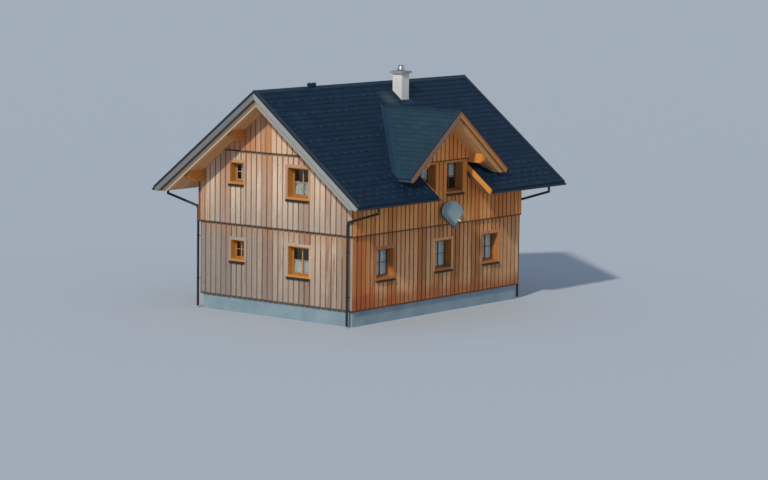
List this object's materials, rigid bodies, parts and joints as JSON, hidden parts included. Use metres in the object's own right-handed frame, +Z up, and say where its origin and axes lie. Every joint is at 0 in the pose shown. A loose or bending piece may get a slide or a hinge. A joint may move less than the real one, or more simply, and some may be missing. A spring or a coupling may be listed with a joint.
{
  "type": "alpine chalet",
  "caption": "Timber-clad alpine chalet with a steep metal-tiled gable roof, deep eaves, front wall dormer, chimney, gutters and dish, on a painted plinth.",
  "frame": {"origin": "on the ground, under the middle of the house, on the bearing face of the foundation slab", "axes": "+X along the ridge towards the right gable, +Y towards the back, +Z up; the dormer looks along -Y and the sunny gable along -X"},
  "size_m": [13.76, 11.5057, 9.8251],
  "materials": {
    "chimney_render": "pale render",
    "curtain_fabric": "thin white curtain",
    "dark_metal": "dark coated sheet",
    "dish_paint": "slate grey coating",
    "dormer_verge_wood": "boards, lightly weathered",
    "floor_boards": "planed boards",
    "foundation_concrete": "cast concrete",
    "frame_wood": "dark stained timber",
    "front_boards": "sawn boards, warm brown",
    "gable_boards": "sawn boards, bleached by the sun",
    "glass": "clear double glazing",
    "inner_wall_wood": "planed timber lining",
    "lining_wood": "oiled lining boards",
    "painted_plinth": "smooth render painted blue-grey",
    "purlin_timber": "sawn timber with carved heads",
    "rail_metal": "white coated rail",
    "roof_metal": "folded coated sheet",
    "roof_tiles": "matt coated metal roof panels",
    "soffit_boards": "planed soffit boards",
    "stainless_steel": "plain stainless steel",
    "top_boards": "sawn boards under the roof",
    "verge_wood": "weathered boards"
  },
  "bodies": {
    "root": {"foundation_slab": "foundation_concrete", "plinth": "painted_plinth", "ground_floor": "floor_boards", "upper_floor": "floor_boards", "front_wall_lower": "inner_wall_wood", "back_wall_lower": "inner_wall_wood", "left_gable_lower": "inner_wall_wood", "right_gable_lower": "inner_wall_wood", "front_wall_upper": "inner_wall_wood", "back_wall_upper": "inner_wall_wood", "left_gable_upper": "inner_wall_wood", "right_gable_upper": "inner_wall_wood", "dormer_cheeks": "front_boards", "lower_boards_long_sides": "front_boards", "lower_boards_gables": "gable_boards", "upper_boards_long_sides": "front_boards", "upper_boards_gables": "gable_boards", "top_boards": "top_boards", "eaves_purlins": "purlin_timber", "middle_purlins": "purlin_timber", "dormer_purlins": "purlin_timber", "front_roof_deck": "soffit_boards", "back_roof_deck": "soffit_boards", "dormer_roof_deck": "soffit_boards", "front_roof_tiles": "roof_tiles", "back_roof_tiles": "roof_tiles", "dormer_roof_tiles": "roof_tiles", "ridge_caps": "roof_metal", "valley_flashings": "roof_metal", "verge_boards": "verge_wood", "dormer_verge_boards": "dormer_verge_wood", "roof_cut_boards": "dormer_verge_wood", "eaves_boards": "verge_wood", "window_linings": "lining_wood", "window_frames": "frame_wood", "window_glass": "glass", "window_sills": "dark_metal", "curtains": "curtain_fabric", "curtain_rails": "rail_metal", "entrance_door": "frame_wood", "door_frame": "frame_wood", "entrance_steps": "foundation_concrete", "chimney_stack": "chimney_render", "chimney_cap": "foundation_concrete", "chimney_flue": "stainless_steel", "chimney_flashing": "roof_metal", "ridge_vent": "roof_metal", "gutters": "dark_metal", "downpipes": "dark_metal", "dish_reflector": "dish_paint", "dish_arm": "dish_paint", "dish_bracket": "dish_paint"}
  },
  "joints": []
}
